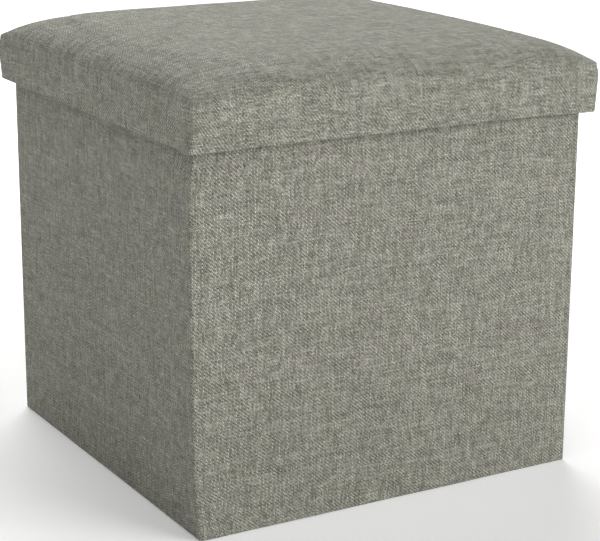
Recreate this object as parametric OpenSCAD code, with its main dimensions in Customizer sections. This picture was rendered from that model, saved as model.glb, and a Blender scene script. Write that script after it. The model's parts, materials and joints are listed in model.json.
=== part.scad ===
// Folding storage ottoman: a cloth-covered box whose side walls crease inward,
// a base panel hinged inside it, and a padded lid that lifts off.
// Units are millimetres. +Z is up, the front wall faces -Y, and the origin is
// the centre of the underside.

/* [Overall] */
// Outside width and depth of the lid
lid_w = 380; // [340:1:420]
// Height from the floor to the middle of the lid's crown
total_h = 376; // [352:1:410]
// How far the lid stands out past the box on each side
overhang = 9.5; // [9:0.5:14]

/* [Walls] */
// Thickness of the hardboard in each wall
board_t = 3.2; // [2.4:0.1:4]
// Thickness of the foam-backed linen cover
cover_t = 1.2; // [0.8:0.1:1.6]
// Thickness of the inner lining
lining_t = 0.6; // [0.4:0.1:0.8]
// Height of cover that is turned down inside the top edge
cover_return = 20; // [10:1:40]
// Width of cloth without a board on each side of a crease
crease_seam = 3; // [1:0.5:8]

/* [Base panel] */
// Thickness of the stiff board in the base panel
base_board_t = 2.8; // [2:0.1:3]
// Thickness of the cloth wrapped round the base board
base_wrap_t = 0.5; // [0.3:0.1:0.6]
// Width of the ribbon pull tab
tab_w = 24; // [15:1:40]
// Length of the ribbon pull tab on the panel
tab_len = 36; // [20:1:60]

/* [Lid] */
// Height of the lid's upright skirt
skirt_h = 39; // [36:1:60]
// Rise of the padded crown above the skirt
crown_rise = 22; // [12:1:30]
// How square the crown is: higher keeps it flat further out
crown_power = 7; // [3:0.5:9]
// How fast the crown falls at its edge: lower is steeper
crown_fall = 0.55; // [0.4:0.05:1]
// Thickness of the lid board
lid_board_t = 4; // [3:0.5:6]
// Radius of the lid's upright corners
lid_corner_r = 7; // [6:0.5:15]
// Number of staples along each side of the lid
staples_per_side = 8; // [4:1:10]

/* [Hidden] */
$fn = 48;

linen = "#8e8d82";
lining_grey = "#4a4a4c";
hardboard = "#8a6a48";
foam_cream = "#e8e0c4";
ribbon_grey = "#77776f";
staple_steel = "#b8babd";

// Walls: cover, board and lining lie face to face across the wall's thickness
wall_t = cover_t + board_t + lining_t;
body_half = lid_w / 2 - overhang;
inner_half = body_half - wall_t;

// The fold: each corner hinge stands off the inner faces so that the base panel
// fits inside the folded walls, and each crease turns on the cover's outer face
corner_standoff = 2.5;
end_gap = 0.3;
crease_gap = 0.3;
corner_axis = inner_half - corner_standoff;
half_len = inner_half - end_gap - crease_gap / 2;

// Floor and base, from the ground up
floor_t = 0.8;
strip_t = 0.4;
strip_w = 18;
base_gap = 0.1;
base_z = floor_t + strip_t + base_gap;
base_t = base_board_t + 2 * base_wrap_t;
base_top = base_z + base_t;
tab_t = 0.25;
hem_top = base_top + 0.4;
moving_wall_z = hem_top + 0.2;
front_wall_z = floor_t + strip_t;
base_side_gap = 2;
base_hinge_y = -inner_half + base_t + 0.5;
base_rear_y = inner_half - 2.5;
base_half_w = inner_half - base_side_gap;

// Lid, from the skirt's hem up
lid_half = lid_w / 2;
lid_z = total_h - crown_rise - skirt_h;
skirt_top = lid_z + skirt_h;
lid_board_z = skirt_top - lid_board_t;
lid_lining_z = lid_board_z - lining_t;
seat_gap = 0.3;
wall_top = lid_lining_z - seat_gap;
rim_t = board_t;
rim_half = lid_half - cover_t;
rim_inner = rim_half - rim_t;
return_t = 0.8;
return_h = 20;
crown_steps = 12;

staple_crown = 10;
staple_wire = 0.7;
staple_leg = 3;
staple_z = lid_z + 14;

echo(corner_axis = corner_axis, crease_axis = body_half, base_hinge_y = base_hinge_y,
     base_z = base_z, wall_top = wall_top, lid_z = lid_z, lid_lining_z = lid_lining_z);

// ---- Shared shapes ----

// A box between two opposite corners
module slab(low, high) {
    translate(low) cube(high - low);
}

// A square plate with rounded upright corners, centred on Z
module rounded_plate(half, r, z, h) {
    slab([-half + r, -half, z], [half - r, half, z + h]);
    slab([-half, -half + r, z], [half, half - r, z + h]);
    for (x = [-1, 1], y = [-1, 1])
        translate([x * (half - r), y * (half - r), z]) cylinder(r = r, h = h);
}

// The crown's outline across the lid, from z up over the top
module crown_outline(half, z, edge_z, rise) {
    polygon(concat(
        [[half, z], [-half, z]],
        [for (k = [-crown_steps : crown_steps])
            let (u = sin(90 * k / crown_steps))
            [half * u, edge_z + rise * pow(1 - pow(abs(u), crown_power), crown_fall)]]
    ));
}

// A rounded square block whose top is crowned both ways
module crowned_block(half, r, z, edge_z, rise) {
    intersection() {
        rotate([90, 0, 0]) linear_extrude(2 * half, center = true)
            crown_outline(half, z, edge_z, rise);
        rotate([90, 0, 90]) linear_extrude(2 * half, center = true)
            crown_outline(half, z, edge_z, rise);
        rounded_plate(half, r, z, edge_z + rise - z);
    }
}

// ---- Wall layers: X runs along the wall, Y inward from its outer face ----

module wall_board(len, z, start = 0) {
    color(hardboard) slab([start, cover_t, z], [len, cover_t + board_t, wall_top - cover_t]);
}

// The cover goes up the outside, over the board's top edge and down inside
module wall_cover(len, z) {
    color(linen) {
        slab([0, 0, z], [len, cover_t, wall_top]);
        slab([0, 0, wall_top - cover_t], [len, wall_t, wall_top]);
        slab([0, cover_t + board_t, wall_top - cover_return], [len, wall_t, wall_top]);
    }
}

module wall_lining(len, z) {
    color(lining_grey)
        slab([0, cover_t + board_t, z], [len, wall_t, wall_top - cover_return]);
}

// The rolled corner that the front and back covers carry round to the side walls
module corner_roll(z) {
    color(linen) intersection() {
        translate([0, wall_t, z]) cylinder(r = wall_t, h = wall_top - z);
        slab([-wall_t, 0, z], [0, wall_t, wall_top]);
    }
}

module end_wall_cover(z) {
    wall_cover(2 * inner_half, z);
    corner_roll(z);
    translate([2 * inner_half, 0, 0]) mirror([1, 0, 0]) corner_roll(z);
}

// ---- Where each wall stands ----

module at_front() {
    translate([-inner_half, -body_half, 0]) children();
}

module at_back() {
    rotate([0, 0, 180]) at_front() children();
}

// The four side halves mirror the left front one; x and y are -1 or 1
module at_side_half(x, y) {
    mirror([x > 0 ? 1 : 0, 0, 0]) mirror([0, y > 0 ? 1 : 0, 0])
        translate([-body_half, -crease_gap / 2, 0]) rotate([0, 0, -90]) children();
}

module side_board(x, y) {
    at_side_half(x, y) wall_board(half_len, moving_wall_z, crease_seam);
}

module side_cover(x, y) {
    at_side_half(x, y) wall_cover(half_len, moving_wall_z);
}

module side_lining(x, y) {
    at_side_half(x, y) wall_lining(half_len, moving_wall_z);
}

// ---- Floor and base panel ----

// The soft floor sewn to the walls' lower edges
module floor_cloth() {
    color(lining_grey) rounded_plate(body_half, wall_t, 0, floor_t);
}

// The turned-up edge of the floor seam, along the two sides and the back
module floor_hem() {
    color(linen) difference() {
        rounded_plate(body_half, wall_t, floor_t, hem_top - floor_t);
        rounded_plate(body_half - cover_t, wall_t - cover_t, floor_t, hem_top - floor_t);
        slab([-lid_half, -lid_half, floor_t], [lid_half, end_gap - inner_half, hem_top]);
    }
}

// The cloth strip that the base panel turns on, sewn in under the front wall
module base_hinge_strip() {
    color(lining_grey)
        slab([-base_half_w, -body_half + cover_t, floor_t],
             [base_half_w, base_hinge_y + strip_w, floor_t + strip_t]);
}

module base_board() {
    color(hardboard)
        slab([-base_half_w + base_wrap_t, base_hinge_y + base_wrap_t, base_z + base_wrap_t],
             [base_half_w - base_wrap_t, base_rear_y - base_wrap_t, base_top - base_wrap_t]);
}

// The top cloth also covers the board's edges
module base_wrap_top() {
    color(lining_grey) difference() {
        slab([-base_half_w, base_hinge_y, base_z + base_wrap_t],
             [base_half_w, base_rear_y, base_top]);
        slab([-base_half_w + base_wrap_t, base_hinge_y + base_wrap_t, base_z + base_wrap_t],
             [base_half_w - base_wrap_t, base_rear_y - base_wrap_t, base_top - base_wrap_t]);
    }
}

module base_wrap_bottom() {
    color(lining_grey)
        slab([-base_half_w, base_hinge_y, base_z],
             [base_half_w, base_rear_y, base_z + base_wrap_t]);
}

module pull_tab() {
    color(ribbon_grey)
        slab([-tab_w / 2, base_rear_y - tab_len, base_top],
             [tab_w / 2, base_rear_y, base_top + tab_t]);
}

// ---- Lid ----

module lid_board() {
    color(hardboard)
        slab([-rim_inner, -rim_inner, lid_board_z], [rim_inner, rim_inner, skirt_top]);
}

// The four rim boards stand on edge round the lid board and stiffen the skirt
module lid_rim(low, high) {
    color(hardboard) difference() {
        intersection() {
            rounded_plate(rim_half, lid_corner_r - cover_t, lid_z + cover_t, skirt_h - cover_t);
            slab([low.x, low.y, lid_z + cover_t], [high.x, high.y, skirt_top]);
        }
        staple_rows();
    }
}

module lid_rim_front() {
    lid_rim([-rim_half, -rim_half], [rim_half, -rim_inner]);
}

module lid_rim_back() {
    lid_rim([-rim_half, rim_inner], [rim_half, rim_half]);
}

module lid_rim_left() {
    lid_rim([-rim_half, -rim_inner], [-rim_inner, rim_inner]);
}

module lid_rim_right() {
    lid_rim([rim_inner, -rim_inner], [rim_half, rim_inner]);
}

module lid_foam() {
    color(foam_cream)
        crowned_block(rim_half, lid_corner_r - cover_t, skirt_top, skirt_top,
                      crown_rise - cover_t);
}

// Linen over the foam and down the skirt, turned under the rims and up inside
module lid_cover() {
    opening = rim_inner - return_t;
    color(linen) {
        difference() {
            crowned_block(lid_half, lid_corner_r, lid_z, skirt_top, crown_rise);
            crowned_block(rim_half, lid_corner_r - cover_t, lid_z + cover_t, skirt_top,
                          crown_rise - cover_t);
            slab([-opening, -opening, lid_z], [opening, opening, lid_z + cover_t]);
        }
        difference() {
            slab([-rim_inner, -rim_inner, lid_z], [rim_inner, rim_inner, lid_z + return_h]);
            slab([-opening, -opening, lid_z], [opening, opening, lid_z + return_h]);
            staple_rows();
        }
    }
}

module lid_lining() {
    color(lining_grey)
        slab([-rim_inner, -rim_inner, lid_lining_z], [rim_inner, rim_inner, lid_board_z]);
}

// One staple: X along its crown, legs driven towards +Y
module staple() {
    slab([-staple_crown / 2, -staple_wire, -staple_wire / 2],
         [staple_crown / 2, 0, staple_wire / 2]);
    for (x = [-1, 1])
        translate([x * (staple_crown - staple_wire) / 2, 0, 0])
            slab([-staple_wire / 2, -staple_wire, -staple_wire / 2],
                 [staple_wire / 2, staple_leg, staple_wire / 2]);
}

// The rows of staples along all four sides, which also cut their own leg holes
module staple_rows() {
    spacing = 2 * rim_inner / staples_per_side;
    for (side = [0 : 3], k = [0 : staples_per_side - 1])
        rotate([0, 0, 90 * side])
            translate([-rim_inner + (k + 0.5) * spacing, rim_inner - return_t, staple_z])
                staple();
}

module lid_staples() {
    color(staple_steel) staple_rows();
}

// ---- Nodes ----

at_front() wall_board(2 * inner_half, front_wall_z);  // front_board
at_front() end_wall_cover(front_wall_z);  // front_cover
at_front() wall_lining(2 * inner_half, front_wall_z);  // front_lining
at_back() wall_board(2 * inner_half, moving_wall_z);  // back_board
at_back() end_wall_cover(moving_wall_z);  // back_cover
at_back() wall_lining(2 * inner_half, moving_wall_z);  // back_lining
side_board(-1, -1);  // left_front_board
side_cover(-1, -1);  // left_front_cover
side_lining(-1, -1);  // left_front_lining
side_board(-1, 1);  // left_rear_board
side_cover(-1, 1);  // left_rear_cover
side_lining(-1, 1);  // left_rear_lining
side_board(1, -1);  // right_front_board
side_cover(1, -1);  // right_front_cover
side_lining(1, -1);  // right_front_lining
side_board(1, 1);  // right_rear_board
side_cover(1, 1);  // right_rear_cover
side_lining(1, 1);  // right_rear_lining
floor_cloth();
floor_hem();
base_hinge_strip();
base_board();
base_wrap_top();
base_wrap_bottom();
pull_tab();
lid_board();
lid_rim_front();
lid_rim_back();
lid_rim_left();
lid_rim_right();
lid_foam();
lid_cover();
lid_lining();
lid_staples();
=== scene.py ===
# The looks of a folding storage ottoman: linen-covered board walls, a hinged base panel
# and a padded lift-off lid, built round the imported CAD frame. Lengths are in metres.

import json
import math

import bpy
import numpy as np
from mathutils import Matrix, Vector


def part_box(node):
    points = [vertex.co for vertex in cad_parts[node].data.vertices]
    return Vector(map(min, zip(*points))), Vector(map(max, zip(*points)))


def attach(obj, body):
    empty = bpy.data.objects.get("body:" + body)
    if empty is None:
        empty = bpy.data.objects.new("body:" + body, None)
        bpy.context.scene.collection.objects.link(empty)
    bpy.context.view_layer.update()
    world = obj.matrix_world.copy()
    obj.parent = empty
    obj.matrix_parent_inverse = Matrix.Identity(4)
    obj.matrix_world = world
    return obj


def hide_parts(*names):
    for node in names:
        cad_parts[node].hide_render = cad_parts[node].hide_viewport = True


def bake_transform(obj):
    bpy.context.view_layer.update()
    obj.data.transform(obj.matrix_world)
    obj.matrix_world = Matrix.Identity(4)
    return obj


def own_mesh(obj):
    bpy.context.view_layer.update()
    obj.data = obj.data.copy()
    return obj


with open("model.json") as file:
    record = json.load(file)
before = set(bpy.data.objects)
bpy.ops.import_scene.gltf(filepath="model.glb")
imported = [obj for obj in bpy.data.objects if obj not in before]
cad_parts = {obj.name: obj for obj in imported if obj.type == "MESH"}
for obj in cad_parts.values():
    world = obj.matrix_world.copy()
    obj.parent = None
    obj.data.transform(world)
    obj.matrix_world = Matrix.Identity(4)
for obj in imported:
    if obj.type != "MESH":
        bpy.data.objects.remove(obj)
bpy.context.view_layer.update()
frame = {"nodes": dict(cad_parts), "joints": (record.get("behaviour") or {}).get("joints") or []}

MM = 0.001


# ---- Places and sizes, from the frame ----

def side(node, corner, axis):
    """One coordinate of a CAD node's box: corner 0 is the lowest and 1 the highest."""
    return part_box(node)[corner][axis]


HALF = side("front_cover", 1, 0)              # outer face of the walls, from the centre
WALL_TOP = side("front_cover", 1, 2)
INNER = -side("front_lining", 1, 1)           # inner face of the walls, from the centre
WALL_T = HALF - INNER
RETURN_Z = side("front_lining", 1, 2)         # where the cover's inside return ends
HEM_TOP = side("left_front_cover", 0, 2) - 0.1 * MM
CORNER_R = 2.5 * MM
FLAT = HALF - CORNER_R                        # half of a wall's flat stretch
ARC = math.pi / 2 * CORNER_R
PITCH = 2 * FLAT + ARC                        # along the walls from one middle to the next
CLOTH_T = 0.6 * MM
GROUND = 0.25 * MM

LID_HALF = side("lid_cover", 1, 0)
LID_Z = side("lid_cover", 0, 2)
LID_TOP = side("lid_cover", 1, 2)
SKIRT_TOP = side("lid_board", 1, 2)
RIM_INNER = -side("lid_rim_left", 1, 0)        # inner face of the rims, from the centre
LID_UNDER = side("lid_lining", 0, 2)
LID_R = 4 * MM
CROWN_POWER = 7.08
CROWN_FALL = 0.55

BASE_LOW, BASE_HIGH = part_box("base_wrap_top")
BASE_Z = side("base_wrap_bottom", 0, 2)
HINGE = next(Vector(j["pos_m"]) for j in frame["joints"] if j["name"] == "base_flap")

WALLS = {"back": 0, "left": 1, "front": 2, "right": 3}


# ---- Small helpers ----

def smooth(t):
    t = np.clip(t, 0, 1)
    return t * t * (3 - 2 * t)


def bell(x, width):
    return np.exp(-((x / width) ** 2))


def ripple(u, v, seed):
    """Gentle unevenness from -1 to 1, made of a few long waves."""
    waves = np.random.default_rng(seed)
    total = np.zeros(np.broadcast(u, v).shape)
    for _ in range(7):
        angle, phase = waves.uniform(0, 2 * math.pi, 2)
        length = waves.uniform(0.05, 0.16)
        k = 2 * math.pi / length
        total += np.sin(k * (u * math.cos(angle) + v * math.sin(angle)) + phase)
    return total / 4


def even(start, end, step):
    return np.linspace(start, end, max(2, int(round(abs(end - start) / step)) + 1))


def graded(start, end, coarse, fine, near, width):
    """Positions from start to end: coarse steps, and fine ones within width of each near."""
    out = [start]
    while out[-1] < end:
        close = min((abs(out[-1] - n) for n in near), default=1.0)
        share = smooth((close - width) / width)
        out.append(out[-1] + fine + (coarse - fine) * float(share))
    out = np.array(out)
    return start + (out - start) * (end - start) / (out[-1] - start)


def new_object(name, verts, faces, uvs=None):
    """A mesh object. uvs holds one (u, v) for each vertex."""
    mesh = bpy.data.meshes.new(name)
    mesh.from_pydata([tuple(map(float, v)) for v in verts], [], [tuple(map(int, f)) for f in faces])
    if uvs is not None:
        layer = mesh.uv_layers.new(name="weave")
        corners = np.zeros(len(mesh.loops), int)
        mesh.loops.foreach_get("vertex_index", corners)
        layer.data.foreach_set("uv", np.asarray(uvs, np.float32)[corners].ravel())
    mesh.validate()
    obj = bpy.data.objects.new(name, mesh)
    bpy.context.scene.collection.objects.link(obj)
    return obj


def shade(obj, sharp_degrees=40):
    obj.data.shade_smooth()
    obj.data.set_sharp_from_angle(angle=math.radians(sharp_degrees))


def bake(obj):
    """Applies obj's modifiers to its mesh."""
    graph = bpy.context.evaluated_depsgraph_get()
    mesh = bpy.data.meshes.new_from_object(obj.evaluated_get(graph))
    obj.modifiers.clear()
    old = obj.data
    obj.data = mesh
    bpy.data.meshes.remove(old)
    mesh.name = obj.name


def grid_faces(rows, cols, wrap=False):
    faces = []
    for i in range(rows if wrap else rows - 1):
        for j in range(cols - 1):
            a, b = i * cols + j, ((i + 1) % rows) * cols + j
            faces.append((a, b, b + 1, a + 1))
    return faces


def border(n):
    """The places round the edge of an n by n grid, in order."""
    last = n - 1
    return ([(i, 0) for i in range(last)] + [(last, j) for j in range(last)]
            + [(i, last) for i in range(last, 0, -1)] + [(0, j) for j in range(last, 0, -1)])


def thicken(obj, thickness):
    """Gives a sheet its thickness on the side away from its normals."""
    modifier = obj.modifiers.new("thickness", "SOLIDIFY")
    modifier.thickness = thickness
    modifier.offset = -1
    modifier.use_even_offset = False
    bake(obj)
    shade(obj)


def cloth(name, points, u, v, thickness=CLOTH_T, wrap=False):
    """A piece of cloth from a grid of points, with its weave coordinates."""
    rows, cols = points.shape[:2]
    uvs = np.stack([np.broadcast_to(u, (rows, cols)), np.broadcast_to(v, (rows, cols))], -1)
    obj = new_object(name, points.reshape(-1, 3), grid_faces(rows, cols, wrap),
                     uvs.reshape(-1, 2))
    thicken(obj, thickness)
    return obj


def finish_piece(obj, material, slot, ride=None, blend=None, replaces=()):
    """Material and body of a piece; slot is not used. blend is (body, body, start, end), but only
    whether it is given is used: a blended piece is fixed where it stands.
    """
    obj.data.materials.clear()
    obj.data.materials.append(material)
    if blend:
        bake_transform(obj)
    elif ride:
        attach(obj, ride)
    if replaces:
        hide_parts(*replaces)
    return obj


# ---- Shader nodes ----

class Nodes:
    """Builds a material's node tree from short calls."""

    def __init__(self, name):
        self.material = bpy.data.materials.new(name)
        self.material.use_nodes = True
        self.tree = self.material.node_tree
        self.tree.nodes.clear()
        self.output = self.tree.nodes.new("ShaderNodeOutputMaterial")

    def put(self, socket, value):
        if isinstance(value, bpy.types.NodeSocket):
            self.tree.links.new(value, socket)
        elif value is not None:
            socket.default_value = value

    def math(self, operation, a, b=None, c=None):
        node = self.tree.nodes.new("ShaderNodeMath")
        node.operation = operation
        for socket, value in zip(node.inputs, (a, b, c)):
            self.put(socket, value)
        return node.outputs[0]

    def uv(self):
        node = self.tree.nodes.new("ShaderNodeUVMap")
        node.uv_map = "weave"
        split = self.tree.nodes.new("ShaderNodeSeparateXYZ")
        self.put(split.inputs[0], node.outputs[0])
        return split.outputs[0], split.outputs[1]

    def place(self):
        return self.tree.nodes.new("ShaderNodeTexCoord").outputs["Object"]

    def vector(self, x=0.0, y=0.0, z=0.0):
        node = self.tree.nodes.new("ShaderNodeCombineXYZ")
        for socket, value in zip(node.inputs, (x, y, z)):
            self.put(socket, value)
        return node.outputs[0]

    def noise(self, vector, scale, detail, roughness):
        node = self.tree.nodes.new("ShaderNodeTexNoise")
        self.put(node.inputs["Vector"], vector)
        self.put(node.inputs["Scale"], scale)
        self.put(node.inputs["Detail"], detail)
        self.put(node.inputs["Roughness"], roughness)
        return node.outputs[0]

    def cells(self, vector, scale):
        node = self.tree.nodes.new("ShaderNodeTexVoronoi")
        self.put(node.inputs["Vector"], vector)
        self.put(node.inputs["Scale"], scale)
        return node.outputs["Distance"]

    def ramp(self, factor, *stops):
        """stops are (position, colour), and colour is three numbers or one grey."""
        node = self.tree.nodes.new("ShaderNodeValToRGB")
        self.put(node.inputs[0], factor)
        elements = node.color_ramp.elements
        while len(elements) < len(stops):
            elements.new(0.5)
        for element, (position, colour) in zip(elements, stops):
            element.position = position
            rgb = colour if isinstance(colour, tuple) else (colour,) * 3
            element.color = (*rgb, 1)
        return node.outputs[0]

    def mix(self, factor, a, b, blend="MIX"):
        node = self.tree.nodes.new("ShaderNodeMix")
        node.data_type = "RGBA"
        node.blend_type = blend
        self.put(node.inputs["Factor"], factor)
        for socket, value in ((node.inputs[6], a), (node.inputs[7], b)):
            self.put(socket, (*value, 1) if isinstance(value, tuple) else value)
        return node.outputs[2]

    def spread(self, value, low, high, to_low=0.0, to_high=1.0):
        node = self.tree.nodes.new("ShaderNodeMapRange")
        for socket, number in zip(node.inputs, (value, low, high, to_low, to_high)):
            self.put(socket, number)
        return node.outputs[0]

    def bump(self, height, distance, strength):
        node = self.tree.nodes.new("ShaderNodeBump")
        node.inputs["Strength"].default_value = strength
        node.inputs["Distance"].default_value = distance
        self.put(node.inputs["Height"], height)
        return node.outputs[0]

    def surface(self, colour, roughness, normal=None, metallic=0.0, sheen=0.0,
                sheen_roughness=0.5, specular=0.5):
        node = self.tree.nodes.new("ShaderNodeBsdfPrincipled")
        self.put(node.inputs["Base Color"], (*colour, 1) if isinstance(colour, tuple) else colour)
        self.put(node.inputs["Roughness"], roughness)
        self.put(node.inputs["Normal"], normal)
        node.inputs["Metallic"].default_value = metallic
        node.inputs["Sheen Weight"].default_value = sheen
        node.inputs["Sheen Roughness"].default_value = sheen_roughness
        node.inputs["Specular IOR Level"].default_value = specular
        self.put(self.output.inputs["Surface"], node.outputs[0])
        return self.material


# ---- Materials ----

WARP = 1.15 * MM                              # spacing of the upright yarns
WEFT = 1.00 * MM                              # spacing of the level yarns


def linen_material(name, cords):
    """Linen-look twill: pale upright yarns over two darker level ones and under the third.
    cords is how strongly the upright yarns gather into lighter and darker lines."""
    n = Nodes(name)
    u, v = n.uv()
    bend_u = n.math("SUBTRACT", n.noise(n.vector(u, v), 60, 1, 0.5), 0.5)
    bend_v = n.math("SUBTRACT", n.noise(n.vector(v, u, 3.0), 60, 1, 0.5), 0.5)
    x = n.math("MULTIPLY_ADD", bend_u, 0.9, n.math("DIVIDE", u, WARP))
    y = n.math("MULTIPLY_ADD", bend_v, 0.9, n.math("DIVIDE", v, WEFT))
    i, j = n.math("FLOOR", x), n.math("FLOOR", y)

    def yarn_height(across, along, count, middle, swing):
        """Height of one set of yarns: round across, and over or under along its length."""
        round_top = n.math("SINE", n.math("MULTIPLY", n.math("FRACT", across), math.pi))
        wave = n.math("COSINE", n.math("MULTIPLY", n.math("ADD", along, count), 2 * math.pi / 3))
        return n.math("MULTIPLY", n.math("POWER", round_top, 0.6),
                      n.math("MULTIPLY_ADD", wave, swing, middle))

    warp = yarn_height(x, y, i, 0.60, 0.40)
    weft = yarn_height(y, x, j, 0.56, -0.44)
    warp_on_top = n.math("GREATER_THAN", warp, weft)
    height = n.math("MAXIMUM", warp, weft)

    def yarn_tone(count, along, seed, streak):
        """Light and dark runs along each yarn, short and long, which differ between yarns."""
        row = n.math("MULTIPLY", count, 7.31)
        short = n.noise(n.vector(row, n.math("MULTIPLY", along, 0.17), seed), 1.0, 2, 0.65)
        long = n.noise(n.vector(row, n.math("MULTIPLY", along, 0.045), seed + 9.0), 1.0, 1, 0.5)
        runs = n.math("MULTIPLY_ADD", n.math("SUBTRACT", long, 0.5), streak, short)
        return n.math("MULTIPLY_ADD", n.math("SUBTRACT", runs, 0.5), 0.86, 0.5)

    warp_tone = n.math("ADD", yarn_tone(i, y, 0.5, 0.35), 0.06)
    weft_tone = n.math("ADD", yarn_tone(j, x, 40.5, 0.65), -0.08)
    tone = n.mix(warp_on_top, weft_tone, warp_tone)
    fleck = n.noise(n.vector(u, v), 560, 2, 0.7)
    tone = n.math("MULTIPLY_ADD", n.math("SUBTRACT", fleck, 0.5), 0.32, tone)
    bands = n.noise(n.vector(n.math("MULTIPLY", u, 4.5), v, 17.0), 42, 2, 0.6)
    rows = n.noise(n.vector(u, n.math("MULTIPLY", v, 4.5), 27.0), 42, 2, 0.6)
    drift = n.math("SUBTRACT", n.math("ADD", bands, rows), 1.0)
    tone = n.math("MULTIPLY_ADD", drift, 0.14, tone)
    cord = n.noise(n.vector(n.math("MULTIPLY", u, 14), v, 37.0), 18, 2, 0.6)
    tone = n.math("MULTIPLY_ADD", n.math("SUBTRACT", cord, 0.5), cords, tone)
    colour = n.ramp(tone,
                    (0.24, (0.110, 0.109, 0.090)),
                    (0.42, (0.235, 0.233, 0.195)),
                    (0.56, (0.380, 0.378, 0.318)),
                    (0.76, (0.640, 0.635, 0.540)))
    patch = n.noise(n.vector(u, v, 7.0), 34, 2, 0.55)
    tint = n.ramp(patch,
                  (0.36, (1.012, 0.994, 1.010)),
                  (0.50, (1.0, 1.0, 1.0)),
                  (0.64, (1.0, 1.002, 0.970)))
    colour = n.mix(1.0, colour, tint, "MULTIPLY")
    shadow = n.spread(height, 0.20, 0.86, 0.05, 1.24)
    colour = n.mix(1.0, colour, n.vector(shadow, shadow, shadow), "MULTIPLY")
    fuzz = n.noise(n.vector(u, v, 1.0), 3200, 2, 0.6)
    relief = n.math("MULTIPLY_ADD", fuzz, 0.3, height)
    rough = n.spread(tone, 0.3, 0.7, 0.98, 0.86)
    return n.surface(colour, rough, n.bump(relief, 0.35 * MM, 0.8), sheen=0.12,
                     sheen_roughness=0.45, specular=0.25)


def lining_material():
    """Dark non-woven cloth: matted fibres with a faint grid of bonding dots."""
    n = Nodes("lining")
    u, v = n.uv()
    fibres = n.noise(n.vector(n.math("MULTIPLY", u, 0.35), v), 2400, 4, 0.7)
    cross = n.noise(n.vector(u, n.math("MULTIPLY", v, 0.35), 5.0), 2400, 4, 0.7)
    mat = n.math("MAXIMUM", fibres, cross)
    dots = n.cells(n.vector(u, v), 900)
    cloud = n.noise(n.vector(u, v), 60, 3, 0.6)
    tone = n.math("MULTIPLY_ADD", n.math("SUBTRACT", cloud, 0.5), 0.35, mat)
    colour = n.ramp(tone, (0.38, (0.040, 0.040, 0.042)), (0.72, (0.125, 0.124, 0.128)))
    relief = n.math("MULTIPLY_ADD", n.spread(dots, 0.0, 0.35), 0.5, mat)
    return n.surface(colour, 0.88, n.bump(relief, 0.12 * MM, 0.6), sheen=0.1, specular=0.3)


def ribbon_material():
    """Grosgrain ribbon: fine ribs across its width, over finer threads."""
    n = Nodes("ribbon")
    u, v = n.uv()
    rib = n.math("SINE", n.math("MULTIPLY", v, 2 * math.pi / (0.9 * MM)))
    thread = n.math("SINE", n.math("MULTIPLY", u, 2 * math.pi / (0.45 * MM)))
    relief = n.math("MULTIPLY_ADD", thread, 0.25, rib)
    # Painted shade: the colour is darker in the troughs between the ribs, where rib is low, on top
    # of the ribbon's own uneven tone.
    tone = n.math("MULTIPLY_ADD", n.noise(n.vector(u, v), 500, 2, 0.6), 0.6,
                  n.math("MULTIPLY", rib, 0.18))
    colour = n.ramp(tone, (0.10, (0.075, 0.075, 0.070)), (0.55, (0.215, 0.213, 0.195)))
    return n.surface(colour, 0.62, n.bump(relief, 0.15 * MM, 0.7), sheen=0.08)


def thread_material():
    """Sewing thread, a little uneven in colour."""
    n = Nodes("thread")
    place = n.place()
    tone = n.noise(place, 2500, 2, 0.6)
    colour = n.ramp(tone, (0.3, (0.16, 0.155, 0.13)), (0.7, (0.33, 0.325, 0.28)))
    return n.surface(colour, 0.6, n.bump(tone, 0.1 * MM, 0.5), sheen=0.1)


def hardboard_material():
    """Pressed brown fibreboard."""
    n = Nodes("hardboard")
    place = n.place()
    fibre = n.noise(place, 420, 5, 0.72)
    cloud = n.noise(place, 22, 3, 0.6)
    tone = n.math("MULTIPLY_ADD", n.math("SUBTRACT", cloud, 0.5), 0.4, fibre)
    colour = n.ramp(tone, (0.32, (0.13, 0.075, 0.040)), (0.52, (0.27, 0.165, 0.092)),
                    (0.70, (0.42, 0.285, 0.170)))
    rough = n.spread(fibre, 0.3, 0.7, 0.85, 0.62)
    return n.surface(colour, rough, n.bump(fibre, 0.2 * MM, 0.4))


def foam_material():
    """Open-cell foam."""
    n = Nodes("foam")
    place = n.place()
    cell = n.cells(place, 700)
    cloud = n.noise(place, 18, 3, 0.6)
    # Painted shade: the colour is darker in the pits near each cell's middle, over the foam's own
    # cloudy tone.
    colour = n.ramp(n.math("MULTIPLY_ADD", cloud, 0.5, cell), (0.2, (0.50, 0.43, 0.27)),
                    (0.8, (0.83, 0.76, 0.58)))
    return n.surface(colour, 0.95, n.bump(cell, 0.5 * MM, 0.7), sheen=0.1)


def steel_material():
    """Zinc-plated wire."""
    n = Nodes("staple_steel")
    place = n.place()
    scuff = n.noise(place, 900, 3, 0.6)
    colour = n.ramp(scuff, (0.3, (0.42, 0.42, 0.44)), (0.7, (0.68, 0.68, 0.70)))
    return n.surface(colour, n.spread(scuff, 0.3, 0.7, 0.42, 0.26), n.bump(scuff, 0.05 * MM, 0.3),
                     metallic=1.0)


LINEN = linen_material("linen", 0.08)
LID_LINEN = linen_material("lid_linen", 0.22)
LINING = lining_material()
RIBBON = ribbon_material()
THREAD = thread_material()
HARDBOARD = hardboard_material()
FOAM = foam_material()
STEEL = steel_material()


# ---- Walls ----
# A place along the walls is one length, g, from the middle of the back wall anticlockwise
# as seen from above: the left, front and right walls' middles are 1, 2 and 3 pitches on.

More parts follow.
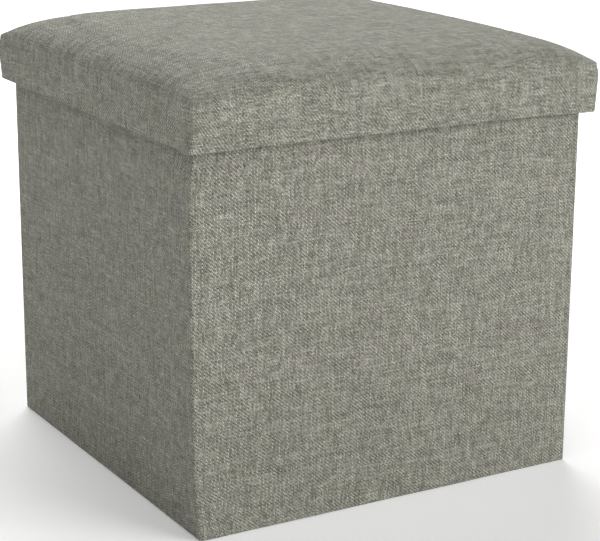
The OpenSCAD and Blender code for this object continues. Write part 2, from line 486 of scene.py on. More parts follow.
def outline(g):
    """Points on the walls' outer face, and the inward directions there, for lengths g."""
    wall = np.round(g / PITCH)
    s = g - wall * PITCH
    turn = np.clip(np.abs(s) - FLAT, 0, None) / CORNER_R * np.sign(s)
    flat = np.clip(s, -FLAT, FLAT)
    x = -flat - CORNER_R * np.sin(turn)
    y = FLAT + CORNER_R * np.cos(turn)
    nx, ny = np.sin(turn), -np.cos(turn)
    c, d = np.cos(wall * math.pi / 2), np.sin(wall * math.pi / 2)
    return (x * c - y * d, x * d + y * c), (nx * c - ny * d, nx * d + ny * c)


CORNER_PUSH = 6.5 * MM                        # how far the front left corner leans to -X


def lean(g, depth, z):
    """The front half of the left wall stands a little proud, most at the front corner.
    It is drawn in at the floor and under the lid, and only its outer face moves."""
    along_left = np.clip((g - PITCH) / (PITCH / 2), 0, 1)
    along_front = 1 - smooth((g - 1.5 * PITCH) / (90 * MM))
    reach = np.where(g < 1.5 * PITCH, along_left, along_front)[:, None]
    low = 1 - np.exp(-np.clip(z, 0, None) / (35 * MM))
    high = 1 - 0.5 * smooth((z - LID_Z + 30 * MM) / (28 * MM))
    return CORNER_PUSH * reach * low * high * np.clip(1 - depth / WALL_T, 0, 1)


def at_walls(g, inward, z):
    """Points at lengths g (rows) with depths and heights (columns)."""
    (x, y), (nx, ny) = outline(g)
    depth = np.broadcast_to(inward, np.broadcast(g[:, None], inward).shape)
    height = np.broadcast_to(z, depth.shape)
    push = lean(g, depth, height)
    return np.stack([x[:, None] + nx[:, None] * depth - push,
                     y[:, None] + ny[:, None] * depth, height], -1)


def from_crease(g):
    """Signed length from the crease of the side wall that g is on, or far away."""
    wall = np.round(g / PITCH)
    return np.where(wall % 2 == 1, g - wall * PITCH, 1.0)


def from_corner(g):
    """Signed length from the nearest corner's middle."""
    return (g / PITCH + 0.5 - np.round(g / PITCH + 0.5)) * PITCH


def cover_profile():
    """(depth, height, length along the cloth) up the outside, over the top, down inside."""
    top_r = 1.5 * MM
    z = graded(HEM_TOP, WALL_TOP - top_r, 5 * MM, 1.5 * MM, [HEM_TOP, WALL_TOP], 6 * MM)
    up = [(0.0, h) for h in z]
    angle = np.linspace(0, math.pi / 2, 6)[1:]
    over = [(top_r * (1 - math.cos(a)), WALL_TOP - top_r * (1 - math.sin(a))) for a in angle]
    across = [(WALL_T - top_r * (1 - math.sin(a)), WALL_TOP - top_r * (1 - math.cos(a)))
              for a in np.linspace(0, math.pi / 2, 6)]
    down = [(WALL_T, h) for h in even(WALL_TOP - top_r, RETURN_Z - 1 * MM, 3 * MM)[1:]]
    points = np.array(up + over + across + down)
    step = np.linalg.norm(np.diff(points, axis=0), axis=1)
    return points[:, 0], points[:, 1], HEM_TOP + np.concatenate([[0], np.cumsum(step)])


SEAM_AT = 6.0 * MM                            # from a corner to the seam on front and back
CREASE_RIDGE = 0.45 * MM


def crease_pinch(g):
    """The share of the wall's thickness that is lost at a crease, where there is no board."""
    return 0.74 * smooth((3.4 * MM - np.abs(from_crease(g))) / (1.8 * MM))


def outer_shape(g, depth, z):
    """The extra depth of the linen's outer face: creases, seams and a little unevenness."""
    g, outside = g[:, None], np.clip(1 - depth / MM, 0, 1)
    crease = -CREASE_RIDGE * bell(from_crease(g), 1.9 * MM)
    wall = np.round(g / PITCH)
    end_wall = wall % 2 == 0
    reach = FLAT + ARC / 2 - np.abs(g - wall * PITCH) - SEAM_AT
    seam = 0.6 * MM * bell(reach, 1.5 * MM) * end_wall
    calm = smooth((WALL_TOP - z) / (30 * MM)) * smooth(np.abs(from_corner(g)) / (18 * MM))
    uneven = -0.35 * MM * ripple(g, z, 3) * calm
    return (crease + seam + uneven) * outside - crease_pinch(g) * depth


def wall_cover(name, start, end, near=(), **kw):
    g = graded(start, end, 5 * MM, 0.7 * MM, near, 5 * MM)
    depth, z, v = cover_profile()
    points = at_walls(g, depth[None, :] + outer_shape(g, depth[None, :], z[None, :]), z[None, :])
    obj = cloth(name, points, g[:, None], v[None, :])
    return finish_piece(obj, LINEN, "linen", **kw)


def lining_depth(g):
    """The lining lies on the boards, and dips between them at a crease."""
    return WALL_T * (1 - crease_pinch(g))


def wall_lining(name, start, end, low, near=(), **kw):
    g = graded(start, end, 6 * MM, 0.6 * MM, near, 4 * MM)[::-1]
    z = even(low, RETURN_Z - 0.2 * MM, 7 * MM)
    puff = 0.15 * MM * ripple(g[:, None], z[None, :], 11) - 0.15 * MM
    points = at_walls(g, lining_depth(g)[:, None] + puff, z[None, :])
    obj = cloth(name, points, g[:, None], z[None, :], 0.5 * MM)
    return finish_piece(obj, LINING, "lining", **kw)


def corner_blend(body_a, body_b, g_corner):
    """blend for a corner: it starts and ends just past the corner's round."""
    (x, y), _ = outline(np.array([g_corner - ARC / 2 - 3 * MM, g_corner + ARC / 2 + 3 * MM]))
    return body_a, body_b, (x[0], y[0], 0), (x[1], y[1], 0)


def crease_blend(body_a, body_b, g_middle):
    (x, y), _ = outline(np.array([g_middle - 4 * MM, g_middle + 4 * MM]))
    return body_a, body_b, (x[0], y[0], 0), (x[1], y[1], 0)


STRIP = ARC / 2 + 5 * MM                      # a corner strip's reach from the corner's middle
LINING_LOW = HEM_TOP + 0.1 * MM


def build_walls():
    back, left, front, right = (WALLS[w] * PITCH for w in ("back", "left", "front", "right"))
    half = PITCH / 2
    for name, middle, body in (("front", front, "front_wall"), ("back", back, "back_wall")):
        ends = middle - half + STRIP, middle + half - STRIP
        seams = [middle - half + ARC / 2 + SEAM_AT, middle + half - ARC / 2 - SEAM_AT]
        wall_cover(name + "_linen", *ends, near=seams, ride=body,
                   replaces=[name + "_cover"])
        wall_lining(name + "_inner_cloth", *ends, LINING_LOW, ride=body,
                    replaces=[name + "_lining"])
    for name, middle, order in (("left", left, ("rear", "front")),
                                ("right", right, ("front", "rear"))):
        ends = middle - half + STRIP, middle + half - STRIP
        blend = crease_blend(f"{name}_{order[0]}_wall", f"{name}_{order[1]}_wall", middle)
        wall_cover(name + "_linen", *ends, near=[middle], blend=blend,
                   replaces=[f"{name}_front_cover", f"{name}_rear_cover"])
        wall_lining(name + "_inner_cloth", *ends, LINING_LOW, near=[middle], blend=blend,
                    replaces=[f"{name}_front_lining", f"{name}_rear_lining"])
    corners = (("rear_left", back + half, "back_wall", "left_rear_wall"),
               ("front_left", left + half, "left_front_wall", "front_wall"),
               ("front_right", front + half, "front_wall", "right_front_wall"))
    for name, g, body_a, body_b in corners:
        blend = corner_blend(body_a, body_b, g)
        wall_cover(name + "_linen_corner", g - STRIP, g + STRIP, near=[g], blend=blend)
        wall_lining(name + "_inner_corner", g - STRIP, g + STRIP, LINING_LOW, near=[g],
                    blend=blend)
    # The loop of walls is open at the rear right corner, so its strip is in two halves
    g = right + half
    wall_cover("rear_right_linen_side", g - STRIP, g, near=[g], ride="right_rear_wall")
    wall_cover("rear_right_linen_back", -half, -half + STRIP, near=[-half], ride="back_wall")
    wall_lining("rear_right_inner_side", g - STRIP, g, LINING_LOW, near=[g],
                ride="right_rear_wall")
    wall_lining("rear_right_inner_back", -half, -half + STRIP, LINING_LOW, near=[-half],
                ride="back_wall")


# ---- Stitches ----

def stitch_mesh(name, centres, directions, normals, length, radius):
    """Short rounded stitches, flattened against the cloth, as one mesh."""
    verts, faces = [], []
    sides, rings = 6, (-1.0, -0.82, -0.3, 0.3, 0.82, 1.0)
    swell = (0.25, 0.75, 1.0, 1.0, 0.75, 0.25)
    for centre, along, out in zip(centres, directions, normals):
        along, out = Vector(along).normalized(), Vector(out).normalized()
        across = along.cross(out)
        base = len(verts)
        for t, w in zip(rings, swell):
            middle = Vector(centre) + along * (t * length / 2) - out * (abs(t) ** 3 * radius)
            for k in range(sides):
                a = 2 * math.pi * k / sides
                verts.append(middle + across * (math.cos(a) * radius * w)
                             + out * (math.sin(a) * radius * 0.7 * w))
        for r in range(len(rings) - 1):
            for k in range(sides):
                a, b = base + r * sides + k, base + r * sides + (k + 1) % sides
                faces.append((a, b, b + sides, a + sides))
        faces.append(tuple(base + k for k in reversed(range(sides))))
        faces.append(tuple(base + (len(rings) - 1) * sides + k for k in range(sides)))
    obj = new_object(name, verts, faces)
    shade(obj, 60)
    return obj


def stitch_row(g0, g1, z, depth, spacing=3.6 * MM):
    """Centres, directions and normals of a level row along a wall, at a depth."""
    g = even(g0, g1, spacing)
    (x, y), (nx, ny) = outline(g)
    centres = [(a + p * depth, b + q * depth, z) for a, b, p, q in zip(x, y, nx, ny)]
    directions = [(q, -p, 0) for p, q in zip(nx, ny)]
    return centres, directions, [(p, q, 0) for p, q in zip(nx, ny)]


def build_stitches():
    back, left, front, right = (WALLS[w] * PITCH for w in ("back", "left", "front", "right"))
    margin = FLAT - 8 * MM
    row_z = RETURN_Z + 3 * MM
    for name, middle, parts in (
            ("front", front, [(-1, 1, "front_wall")]),
            ("back", back, [(-1, 1, "back_wall")]),
            ("left", left, [(-1, 0, "left_rear_wall"), (0, 1, "left_front_wall")]),
            ("right", right, [(-1, 0, "right_front_wall"), (0, 1, "right_rear_wall")])):
        for a, b, body in parts:
            gap = 5 * MM
            start = middle + (a * margin if a else gap)
            end = middle + (b * margin if b else -gap)
            row = stitch_row(start, end, row_z, WALL_T - 0.06 * MM)
            piece = stitch_mesh(f"{body}_top_stitches", *row, 2.7 * MM, 0.32 * MM)
            finish_piece(piece, THREAD, "linen", ride=body)


# ---- Floor and base panel ----

def build_floor():
    """The floor cloth, and the hem that joins it to the walls. Both are a little uneven, and the
    hem rises near the side walls' creases.
    """
    half = HALF - 1.1 * MM
    edge = np.linspace(-half, half, 61)
    x, y = np.meshgrid(edge, edge, indexing="ij")
    r = CORNER_R
    dx, dy = np.clip(np.abs(x) - (half - r), 0, None), np.clip(np.abs(y) - (half - r), 0, None)
    pull = 1 - np.sqrt(np.clip(1 - (dx * dy / (r * r)) * 0.6, 0, 1))
    x, y = x - np.sign(x) * dx * pull, y - np.sign(y) * dy * pull
    z = 0.72 * MM + 0.06 * MM * ripple(x, y, 5)
    obj = cloth("floor_cloth_sewn", np.stack([x, y, z], -1), x, y, 0.55 * MM)
    finish_piece(obj, LINING, "lining", ride="front_wall", replaces=["floor_cloth"])
    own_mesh(obj)

    g = np.concatenate([graded(-PITCH / 2 + k * PITCH, PITCH / 2 + k * PITCH, 5 * MM, 0.8 * MM,
                               [-PITCH / 2 + k * PITCH, PITCH / 2 + k * PITCH], 5 * MM)[:-1]
                        for k in range(4)])
    turn = np.linspace(0, math.pi, 9)[1:]
    wavy = 0.18 * MM * (1 + ripple(g, 0 * g, 9)) + 1.5 * MM * bell(from_crease(g), 5 * MM)
    low = GROUND + np.clip(wavy, 0, None)[:, None]
    r = 0.75 * MM
    down = even(HEM_TOP, GROUND + 2.2 * MM, 0.8 * MM)[::-1]
    depth = np.concatenate([r - r * np.cos(turn[::-1]), np.zeros(len(down))])
    lift = np.concatenate([r - r * np.sin(turn[::-1]), down - GROUND])
    depth, lift = depth[None, :], lift[None, :]
    share = np.clip(lift / (HEM_TOP - GROUND), 0, 1)
    z = low + (HEM_TOP - low) * share
    points = at_walls(g, depth + outer_shape(g, depth, z) * (depth < r), z)
    v = np.broadcast_to(z - depth, z.shape)
    obj = cloth("bottom_hem", points, g[:, None], v, 0.5 * MM, wrap=True)
    finish_piece(obj, LINEN, "linen", ride="front_wall", replaces=["floor_hem"])
    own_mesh(obj)


def rounded_slab(name, low, high, edge, corner, seed, sag):
    """A soft-edged panel: rounded in plan by corner, with its edges rounded by edge. Its faces
    dip by up to sag, unevenly."""
    low, high = Vector(low), Vector(high)
    half_x, half_y = (high.x - low.x) / 2, (high.y - low.y) / 2
    centre = (low + high) / 2
    around = []
    quarters = [(1, 1), (-1, 1), (-1, -1), (1, -1)]
    for k, (c, s) in enumerate(quarters):
        for a in np.linspace(0, math.pi / 2, 7):
            angle = a + k * math.pi / 2
            around.append((c * (half_x - corner) + corner * math.cos(angle),
                           s * (half_y - corner) + corner * math.sin(angle),
                           math.cos(angle), math.sin(angle)))
        following = quarters[(k + 1) % 4]
        start = np.array(around[-1][:2])
        angle = (k + 1) * math.pi / 2
        end = np.array([following[0] * (half_x - corner) + corner * math.cos(angle),
                        following[1] * (half_y - corner) + corner * math.sin(angle)])
        for t in np.linspace(0, 1, 24)[1:-1]:
            p = start + (end - start) * t
            around.append((*p, math.cos(angle), math.sin(angle)))
    around = np.array(around)
    rise = np.linspace(-math.pi / 2, math.pi / 2, 9)
    thick = high.z - low.z
    rings = [(-edge + edge * math.cos(a),
              (edge if a < 0 else thick - edge) + edge * math.sin(a)) for a in rise]
    flat = [-edge - 0.6 * MM, -4 * MM, -12 * MM, -30 * MM, -70 * MM, -120 * MM, -half_x * 0.999]
    rings = [(f, 0.0) for f in flat[::-1]] + rings + [(f, thick) for f in flat]
    verts, uvs = [], []
    for inset, z in rings:
        scale_x, scale_y = (half_x + inset) / half_x, (half_y + inset) / half_y
        for x, y, nx, ny in around:
            if inset > -edge - 0.1 * MM:
                px, py = x + nx * inset, y + ny * inset
            else:
                px, py = x * scale_x, y * scale_y
            verts.append((centre.x + px, centre.y + py, low.z + z))
            uvs.append((px, py + (z if z > thick / 2 else -z)))
    verts = np.array(verts)
    above = verts[:, 2] - low.z - thick / 2
    on_face = np.abs(above) > thick / 2 - 0.2 * MM
    dip = sag * (1 + ripple(verts[:, 0], verts[:, 1], seed)) / 2
    verts[:, 2] -= dip * on_face * np.sign(above)
    cols = len(around)
    faces = []
    for i in range(len(rings) - 1):
        for j in range(cols):
            a, b = i * cols + j, i * cols + (j + 1) % cols
            faces.append((a, b, b + cols, a + cols))
    faces.append(tuple(range(cols))[::-1])
    faces.append(tuple(range((len(rings) - 1) * cols, len(rings) * cols)))
    obj = new_object(name, verts, faces, uvs)
    shade(obj, 50)
    return obj


def build_base():
    """The cloth-wrapped base panel, its ribbon pull tab and its cloth hinge."""
    low, high = Vector((BASE_LOW.x, BASE_LOW.y, BASE_Z)), BASE_HIGH
    panel = rounded_slab("base_panel_cloth", low, high, 0.9 * MM, 3 * MM, seed=21, sag=0.12 * MM)
    finish_piece(panel, LINING, "lining", ride="base_panel",
                 replaces=["base_wrap_top", "base_wrap_bottom"])

    # The wrap is folded under by this much, and mitred at the corners
    fold, rise = 20 * MM, 0.25 * MM
    x0, y0 = high.x - 1.2 * MM, (high.y - low.y) / 2 - 1.2 * MM
    y_mid = (high.y + low.y) / 2
    for k, (name, long_half, deep) in enumerate((("rear", x0, y0), ("left", y0, x0),
                                                 ("front", x0, y0), ("right", y0, x0))):
        along = even(-1, 1, 0.02)
        across = np.array([0.0, 0.02, 0.5, 0.98, 1.0])
        lift = np.array([0.0, 1.0, 1.0, 1.0, 0.0]) * rise
        reach = long_half - across * fold - 0.15 * MM
        s = along[:, None] * reach[None, :]
        d = np.broadcast_to(deep - across * fold, s.shape)
        turn = {"rear": (s, d), "left": (-d, s), "front": (-s, -d), "right": (d, -s)}[name]
        z = low.z - lift[None, :] + 0.02 * MM + 0 * s
        points = np.stack([turn[0], y_mid + turn[1], z], -1)
        piece = cloth(f"base_wrap_fold_{name}", points[:, ::-1], s, d, 0.2 * MM)
        finish_piece(piece, LINING, "lining", ride="base_panel")

    tab_low, tab_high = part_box("pull_tab")
    half_w = (tab_high.x - tab_low.x) / 2
    x = even(-half_w, half_w, 0.8 * MM)
    y = even(tab_high.y - 0.4 * MM, tab_low.y, 1.0 * MM)
    edge = bell(half_w - np.abs(x), 0.8 * MM)[:, None]
    z = tab_high.z - 0.08 * MM * edge - 0.05 * MM * (1 + ripple(x[:, None], y[None, :], 31))
    z = z - 0.15 * MM * smooth((y[None, :] - tab_high.y + 3 * MM) / (3 * MM))
    points = np.stack([np.broadcast_to(x[:, None], z.shape), np.broadcast_to(y[None, :], z.shape),
                       z], -1)
    tab = cloth("pull_tab_ribbon", points[:, ::-1], x[:, None], y[None, ::-1], 0.2 * MM)
    finish_piece(tab, RIBBON, "ribbon", ride="base_panel", replaces=["pull_tab"])
    box_x, box_y = half_w - 2.5 * MM, 6 * MM
    y_box = tab_high.y - 10 * MM
    centres, directions = [], []
    corners = [(-box_x, -box_y), (box_x, -box_y), (box_x, box_y), (-box_x, box_y)]
    paths = [(corners[k], corners[(k + 1) % 4]) for k in range(4)] + [
        (corners[0], corners[2]), (corners[1], corners[3])]
    for a, b in paths:
        a, b = Vector((*a, 0)), Vector((*b, 0))
        count = int((b - a).length / (2.6 * MM))
        for k in range(count):
            centres.append(a.lerp(b, (k + 0.5) / count) + Vector((0, y_box, tab_high.z)))
            directions.append(b - a)
    stitches = stitch_mesh("pull_tab_stitches", centres, directions, [(0, 0, 1)] * len(centres),
                           2.0 * MM, 0.16 * MM)
    finish_piece(stitches, THREAD, "ribbon", ride="base_panel")

    strip_low, strip_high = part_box("base_hinge_strip")
    x = even(strip_low.x, strip_high.x, 6 * MM)
    y = graded(strip_low.y, strip_high.y, 2 * MM, 0.4 * MM, [HINGE.y], 3 * MM)
    z = strip_high.z - 0.05 * MM * (1 + ripple(x[:, None], y[None, :], 41))
    points = np.stack([np.broadcast_to(x[:, None], z.shape), np.broadcast_to(y[None, :], z.shape),
                       z], -1)
    strip = cloth("base_hinge_cloth", points, x[:, None], y[None, :], 0.3 * MM)
    reach = 2.5 * MM
    finish_piece(strip, LINING, "lining",
                 blend=("front_wall", "base_panel", (0, HINGE.y - reach, HINGE.z),
                        (0, HINGE.y + reach, HINGE.z)),
                 replaces=["base_hinge_strip"])


# ---- Lid ----

def crown_profile(t):
    return np.clip(1 - np.abs(t) ** CROWN_POWER, 0, 1) ** CROWN_FALL


def lid_stations(half, rise):
    """Positions across the lid, evenly spaced over the crown, with finer steps at its edges,
    and the length of cloth from the middle to each."""
    fine = np.sin(np.linspace(0, math.pi / 2, 4000))
    fine = 1 - (1 - fine) ** 1.4
    length = np.concatenate([[0], np.cumsum(np.hypot(np.diff(fine) * half,
                                                     np.diff(crown_profile(fine)) * rise))])
    wanted = graded(0, length[-1], 3.4 * MM, 1.3 * MM, [length[-1]], 12 * MM)
    t = np.interp(wanted, length, fine)
    t[-1] = 1.0
    return np.concatenate([-t[:0:-1], t]), np.concatenate([-wanted[:0:-1], wanted])


def round_corner(x, y, half, r):
    """Moves points of a square so that its corners are round in plan."""
    dx = np.clip(np.abs(x) - (half - r), 0, r) / r
    dy = np.clip(np.abs(y) - (half - r), 0, r) / r
    both = (dx > 0) & (dy > 0)
    new_x = np.where(both, np.sign(x) * (half - r + r * dx * np.sqrt(1 - dy ** 2 / 2)), x)
    new_y = np.where(both, np.sign(y) * (half - r + r * dy * np.sqrt(1 - dx ** 2 / 2)), y)
    return new_x, new_y


PLEAT_SHIFT = 4.0 * MM                        # from a lid corner to its mitre seam
CORNER_BULGE = 1.6 * MM                       # the skirt stands out below each top corner
CORNER_DRAW = 1.2 * MM                        # and the top corner itself is drawn in
EAR_FLARE = 4.5 * MM                          # the skirt's foot stands out at the front left
EAR_SAG = 2.2 * MM                            # and hangs lower at the front right


def skirt_moves(x, y, out, inset, height, half, edge_z, r):
    """How far a point of the skirt moves inward, to -X and up. Only the cloth's outer face
    has the seams and bulges, and the inside return keeps its depth."""
    along_edge = y if abs(out[0]) > abs(out[1]) else x
    on_end = abs(out[1]) > abs(out[0])
    inward = 0.0
    if inset < 1 * MM:
        low = np.clip((edge_z - height) / (edge_z - LID_Z), 0, 1)
        to_seam = half - r - abs(along_edge)
        seam = 0.9 * MM * bell(to_seam + PLEAT_SHIFT, 1.1 * MM) if on_end else 0.0
        belly = 0.8 * MM * math.sin(math.pi * low) * smooth(to_seam / (40 * MM))
        belly += CORNER_BULGE * math.sin(math.pi * low ** 0.6) * bell(to_seam, 30 * MM)
        uneven = 0.25 * MM * ripple(along_edge, height, 23 + on_end)
        inward = seam * smooth(low * 6) - belly - uneven * smooth(low * 3)
    corner_gap = math.hypot(half - abs(x), half - abs(y))
    inward += CORNER_DRAW * bell(corner_gap, 8 * MM) * bell(edge_z - height, 4 * MM)
    wave = 0.35 * MM * ripple(along_edge, 0.0, 29) if height < LID_Z + 6 * MM else 0.0
    near_foot = smooth((LID_Z + 14 * MM - height) / (14 * MM))
    flare = EAR_FLARE * near_foot * bell(math.hypot(x + half, y + half), 16 * MM)
    sag = EAR_SAG * near_foot * bell(math.hypot(x - half, y + half), 40 * MM)
    return float(inward), float(flare), float(wave - sag)


def lid_shape(half, edge_z, rise, r, drop, pucker=1.0):
    """Vertices, faces and weave coordinates of the crown with its skirt.
    drop is the skirt's profile as (inset, height) pairs, from the crown's edge down."""
    t, cloth_length = lid_stations(half, rise)
    n = len(t)
    a, b = np.meshgrid(t, t, indexing="ij")
    x, y = round_corner(a * half, b * half, half, r)
    fall = crown_profile(a) * crown_profile(b)
    corner = np.abs(a * b)
    gather = pucker * 0.35 * MM * corner ** 10 * np.sin(
        np.arctan2(np.abs(b), np.abs(a)) * 46) * smooth((1 - np.maximum(abs(a), abs(b))) * 30)
    z = edge_z + rise * fall + gather + pucker * 0.30 * MM * ripple(x, y, 17) * fall
    verts = [tuple(p) for p in np.stack([x, y, z], -1).reshape(-1, 3)]
    uv = np.stack(np.meshgrid(cloth_length, cloth_length, indexing="ij")[::-1], -1).reshape(-1, 2)
    uv = [tuple(p) for p in uv]
    faces = grid_faces(n, n)
    ring = border(n)
    previous = [i * n + j for i, j in ring]
    down = 0.0
    last = (0.0, edge_z)
    outward = []
    for i, j in ring:
        px, py = x[i, j], y[i, j]
        cx, cy = np.clip(px, -(half - r), half - r), np.clip(py, -(half - r), half - r)
        direction = np.array([px - cx, py - cy])
        if np.linalg.norm(direction) < 1e-9:
            direction = np.array([np.sign(a[i, j]) * (abs(a[i, j]) == 1),
                                  np.sign(b[i, j]) * (abs(b[i, j]) == 1)])
        outward.append(direction / np.linalg.norm(direction))
    for inset, height in drop:
        down += math.hypot(inset - last[0], height - last[1])
        last = (inset, height)
        current = []
        for (i, j), out in zip(ring, outward):
            px, py = x[i, j], y[i, j]
            inward, flare, up = (skirt_moves(px, py, out, inset, height, half, edge_z, r)
                                 if pucker else (0.0, 0.0, 0.0))
            depth = inset + inward
            verts.append((px - out[0] * depth - flare, py - out[1] * depth, height + up))
            u_edge, v_edge = cloth_length[i], cloth_length[j]
            if abs(out[0]) > abs(out[1]):
                uv.append((v_edge, math.copysign(abs(u_edge) + down, a[i, j])))
            else:
                uv.append((math.copysign(abs(v_edge) + down, b[i, j]), u_edge))
            current.append(len(verts) - 1)
        count = len(ring)
        for k in range(count):
            faces.append((previous[k], current[k], current[(k + 1) % count],
                          previous[(k + 1) % count]))
        previous = current
    return verts, faces, uv, previous


def skirt_profile():
    """(inset, height) from the crown's edge down the skirt, under the rim and up inside."""
    r, tall = 1.0 * MM, 1.5 * MM
    inside = LID_HALF - (RIM_INNER - 0.8 * MM)
    down = [(0.0, z) for z in even(SKIRT_TOP, LID_Z + tall, 3 * MM)[1:]]
    under = [(r - r * math.cos(a), LID_Z + tall - tall * math.sin(a))
             for a in np.linspace(0, math.pi / 2, 8)[1:]]
    up = [(inside - r + r * math.sin(a), LID_Z + r - r * math.cos(a))
          for a in np.linspace(0, math.pi / 2, 6)]
    inner = [(inside, z) for z in even(LID_Z + r, LID_Z + 20 * MM, 3 * MM)[1:]]
    return down + under + up + inner


def simulate(obj, pinned_z, limit, frames=18):
    """Inflates a cloth a little, as a stuffed cover is, and moves no point past limit."""
    rest = np.array([v.co for v in obj.data.vertices])
    pins = obj.vertex_groups.new(name="pins")
    pins.add([int(k) for k in np.flatnonzero(rest[:, 2] <= pinned_z)], 1.0, "ADD")
    modifier = obj.modifiers.new("cloth", "CLOTH")
    settings = modifier.settings
    settings.quality = 4
    settings.mass = 0.3
    settings.tension_stiffness = 12
    settings.compression_stiffness = 12
    settings.bending_stiffness = 0.4
    settings.use_pressure = True
    settings.uniform_pressure_force = 1.2
    settings.shrink_min = -0.012
    settings.vertex_group_mass = "pins"
    settings.effector_weights.gravity = 0
    modifier.collision_settings.use_collision = False
    modifier.point_cache.frame_start = 1
    modifier.point_cache.frame_end = frames
    scene = bpy.context.scene
    for number in range(1, frames + 1):
        scene.frame_set(number)
    graph = bpy.context.evaluated_depsgraph_get()
    moved = np.array([v.co for v in obj.evaluated_get(graph).data.vertices])
    shift = moved - rest
    length = np.linalg.norm(shift, axis=1, keepdims=True)
    shift *= np.tanh(length / limit) * limit / np.maximum(length, 1e-9)
    normals = np.array([v.normal for v in obj.data.vertices])
    inward = np.clip(-(shift * normals).sum(1) - 0.2 * MM, 0, None)
    shift += normals * inward[:, None]
    obj.modifiers.clear()
    obj.vertex_groups.clear()
    obj.data.vertices.foreach_set("co", (rest + shift).astype(np.float32).ravel())
    obj.data.update()
    scene.frame_set(1)


def build_lid():
    rise = LID_TOP - SKIRT_TOP
    verts, faces, uv, _ = lid_shape(LID_HALF, SKIRT_TOP, rise, LID_R, skirt_profile())
    cover = new_object("lid_linen", verts, faces, uv)
    simulate(cover, SKIRT_TOP + 3 * MM, 1.2 * MM)
    thicken(cover, CLOTH_T)
    finish_piece(cover, LID_LINEN, "linen", ride="lid", replaces=["lid_cover"])

    gap = 2.2 * MM
    verts, faces, uv, last = lid_shape(LID_HALF - gap, SKIRT_TOP + 1 * MM, rise - gap - 1 * MM,
                                       LID_R - 1 * MM, [(0.0, SKIRT_TOP + 0.05 * MM)],
                                       pucker=0.0)
    faces.append(tuple(last[::-1]))
    foam = new_object("seat_foam", verts, faces, uv)
    shade(foam, 50)
    finish_piece(foam, FOAM, "foam", ride="lid", replaces=["lid_foam"])

    # The lining is a shallow tray: across under the lid board, and down inside the rims
    wall = RIM_INNER - 0.25 * MM
    edge = np.concatenate([[-wall], even(-wall + 1.2 * MM, wall - 1.2 * MM, 6 * MM), [wall]])
    down = even(LID_UNDER - 0.4 * MM, LID_Z + 18 * MM, 4 * MM)
    x, y = np.meshgrid(edge, edge, indexing="ij")
    z = LID_UNDER + 0.12 * MM * (1 + ripple(x, y, 51)) * (np.maximum(abs(x), abs(y)) < wall)
    n = len(edge)
    verts = [tuple(p) for p in np.stack([x, y, z], -1).reshape(-1, 3)]
    uv = [(p[0], p[1]) for p in verts]
    faces = [f[::-1] for f in grid_faces(n, n)]
    ring = border(n)
    previous = [i * n + j for i, j in ring]
    for h in down:
        current = []
        for i, j in ring:
            verts.append((x[i, j], y[i, j], h))
            reach = LID_UNDER - h
            uv.append((x[i, j] + (np.sign(x[i, j]) * reach if abs(x[i, j]) == wall else 0),
                       y[i, j] + (np.sign(y[i, j]) * reach if abs(y[i, j]) == wall else 0)))
            current.append(len(verts) - 1)
        for k in range(len(ring)):
            faces.append((previous[k], previous[(k + 1) % len(ring)],
                          current[(k + 1) % len(ring)], current[k]))
        previous = current
    lining = new_object("lid_inner_cloth", verts, faces, uv)
    thicken(lining, 0.3 * MM)
    finish_piece(lining, LINING, "lining", ride="lid", replaces=["lid_lining"])


# ---- CAD nodes that stay, and the stage ----

def dress_cad_nodes():
    for name, obj in frame["nodes"].items():
        if name.endswith("_board") or name.startswith("lid_rim"):
            material = HARDBOARD
        elif name == "lid_staples":
            material = STEEL
        else:
            continue
        for place in obj.material_slots:
            place.material = material
        if not obj.material_slots:
            obj.data.materials.append(material)


def floor_material():
    """A pale floor that brightens into the white backdrop away from the object."""
    n = Nodes("studio_white")
    length = n.tree.nodes.new("ShaderNodeVectorMath")
    length.operation = "LENGTH"
    n.put(length.inputs[0], n.place())
    glow = n.spread(length.outputs["Value"], 0.3, 2.2, 0.19, 0.9)
    material = n.surface((0.88, 0.88, 0.88), 0.95, specular=0.1)
    shader = n.output.inputs["Surface"].links[0].from_node
    n.put(shader.inputs["Emission Color"], n.vector(glow, glow, glow))
    shader.inputs["Emission Strength"].default_value = 1.0
    return material


def area_light(name, place, target, size, power):
    data = bpy.data.lights.new(name, "AREA")
    data.shape = "RECTANGLE"
    data.size, data.size_y = size
    data.energy = power
    obj = bpy.data.objects.new(name, data)
    obj.location = place
    obj.rotation_euler = (Vector(target) - Vector(place)).to_track_quat("-Z", "Y").to_euler()
    bpy.context.scene.collection.objects.link(obj)


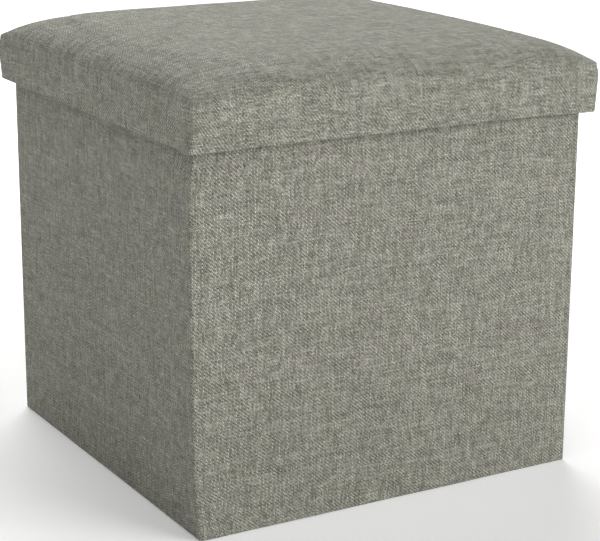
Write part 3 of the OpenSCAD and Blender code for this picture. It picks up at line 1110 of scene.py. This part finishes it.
def build_stage():
    size = 4.0
    floor = new_object("studio_floor", [(-size, -size, 0), (size, -size, 0), (size, size, 0),
                                        (-size, size, 0)], [(0, 1, 2, 3)])
    floor.data.materials.append(floor_material())
    middle = (0, 0, 0.2)
    area_light("key", (2.4, -3.8, 2.2), middle, (3.0, 2.4), 158)
    area_light("top", (0.5, 1.7, 1.9), middle, (1.8, 1.4), 56)
    area_light("fill", (-1.3, -0.8, 2.2), middle, (1.6, 1.6), 18)

    world = bpy.data.worlds.new("studio")
    world.use_nodes = True
    background = world.node_tree.nodes["Background"]
    background.inputs["Color"].default_value = (1, 1, 1, 1)
    background.inputs["Strength"].default_value = 0.04
    shown = world.node_tree.nodes.new("ShaderNodeBackground")
    shown.inputs["Strength"].default_value = 1.0
    path = world.node_tree.nodes.new("ShaderNodeLightPath")
    mix = world.node_tree.nodes.new("ShaderNodeMixShader")
    links = world.node_tree.links
    links.new(path.outputs["Is Camera Ray"], mix.inputs[0])
    links.new(background.outputs[0], mix.inputs[1])
    links.new(shown.outputs[0], mix.inputs[2])
    links.new(mix.outputs[0], world.node_tree.nodes["World Output"].inputs["Surface"])
    bpy.context.scene.world = world
    bpy.context.scene.view_settings.view_transform = "Standard"


def build_camera():
    data = bpy.data.cameras.new("camera")
    data.sensor_width = 36
    data.lens = 111.43
    obj = bpy.data.objects.new("camera", data)
    bpy.context.scene.collection.objects.link(obj)
    azimuth, elevation, roll = (math.radians(a) for a in (30.34, 15.746, 0.346))
    ahead = Vector((math.sin(azimuth) * math.cos(elevation),
                    math.cos(azimuth) * math.cos(elevation), -math.sin(elevation)))
    across = Vector((math.cos(azimuth), -math.sin(azimuth), 0))
    up = across.cross(ahead)
    right = math.cos(roll) * across + math.sin(roll) * up
    up = math.cos(roll) * up - math.sin(roll) * across
    matrix = Matrix((right, up, -ahead)).transposed().to_4x4()
    matrix.translation = (-0.7979, -1.3882, 0.6055)
    obj.matrix_world = matrix
    bpy.context.scene.camera = obj


build_camera()
build_walls()
build_stitches()
build_floor()
build_base()
build_lid()
dress_cad_nodes()
build_stage()
